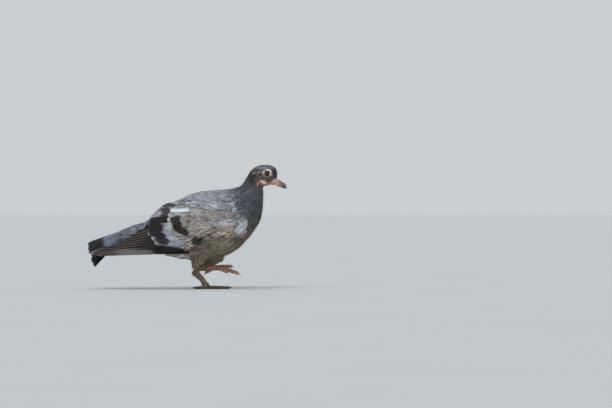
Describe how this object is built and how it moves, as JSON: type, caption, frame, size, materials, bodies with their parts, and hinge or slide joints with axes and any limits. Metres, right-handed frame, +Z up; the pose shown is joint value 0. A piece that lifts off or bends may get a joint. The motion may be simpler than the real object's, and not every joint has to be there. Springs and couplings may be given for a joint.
{
  "type": "pigeon",
  "caption": "Life-size still model of a young feral pigeon in mid-stride: it stands on its right foot, carries the left one forward and looks ahead, with folded wings and a lowered tail.",
  "frame": {"origin": "on the floor, under the middle of the bird's bounding box", "axes": "+X the way the bird faces, from tail to bill; +Y the bird's left; +Z up"},
  "size_m": [0.2752, 0.0894, 0.1713],
  "materials": {
    "slate_plumage": "matt, soft short feathers",
    "grey_brown_plumage": "matt, soft feathers with pale edges",
    "dusky_quills": "matt, smooth flight feathers",
    "blue_grey_quills": "matt, smooth tail feathers",
    "pink_scales": "satin, scaly skin",
    "pale_cere": "matt, powdery skin",
    "bill_horn": "satin horn",
    "claw_horn": "satin horn",
    "wet_eye": "wet, glossy"
  },
  "bodies": {
    "root": {"trunk": "grey_brown_plumage", "neck": "slate_plumage", "head": "slate_plumage", "cere": "pale_cere", "bill_upper": "bill_horn", "bill_lower": "bill_horn", "tail_coverts": "blue_grey_quills", "tail": "blue_grey_quills", "eye_right": "wet_eye", "wing_right_coverts": "grey_brown_plumage", "wing_right_secondaries": "dusky_quills", "wing_right_primaries": "dusky_quills", "shank_right": "grey_brown_plumage", "tarsus_right": "pink_scales", "toe_right_hind": "pink_scales", "claw_right_hind": "claw_horn", "toe_right_inner": "pink_scales", "claw_right_inner": "claw_horn", "toe_right_middle": "pink_scales", "claw_right_middle": "claw_horn", "toe_right_outer": "pink_scales", "claw_right_outer": "claw_horn", "eye_left": "wet_eye", "wing_left_coverts": "grey_brown_plumage", "wing_left_secondaries": "dusky_quills", "wing_left_primaries": "dusky_quills", "shank_left": "grey_brown_plumage", "tarsus_left": "pink_scales", "toe_left_hind": "pink_scales", "claw_left_hind": "claw_horn", "toe_left_inner": "pink_scales", "claw_left_inner": "claw_horn", "toe_left_middle": "pink_scales", "claw_left_middle": "claw_horn", "toe_left_outer": "pink_scales", "claw_left_outer": "claw_horn"}
  },
  "joints": []
}
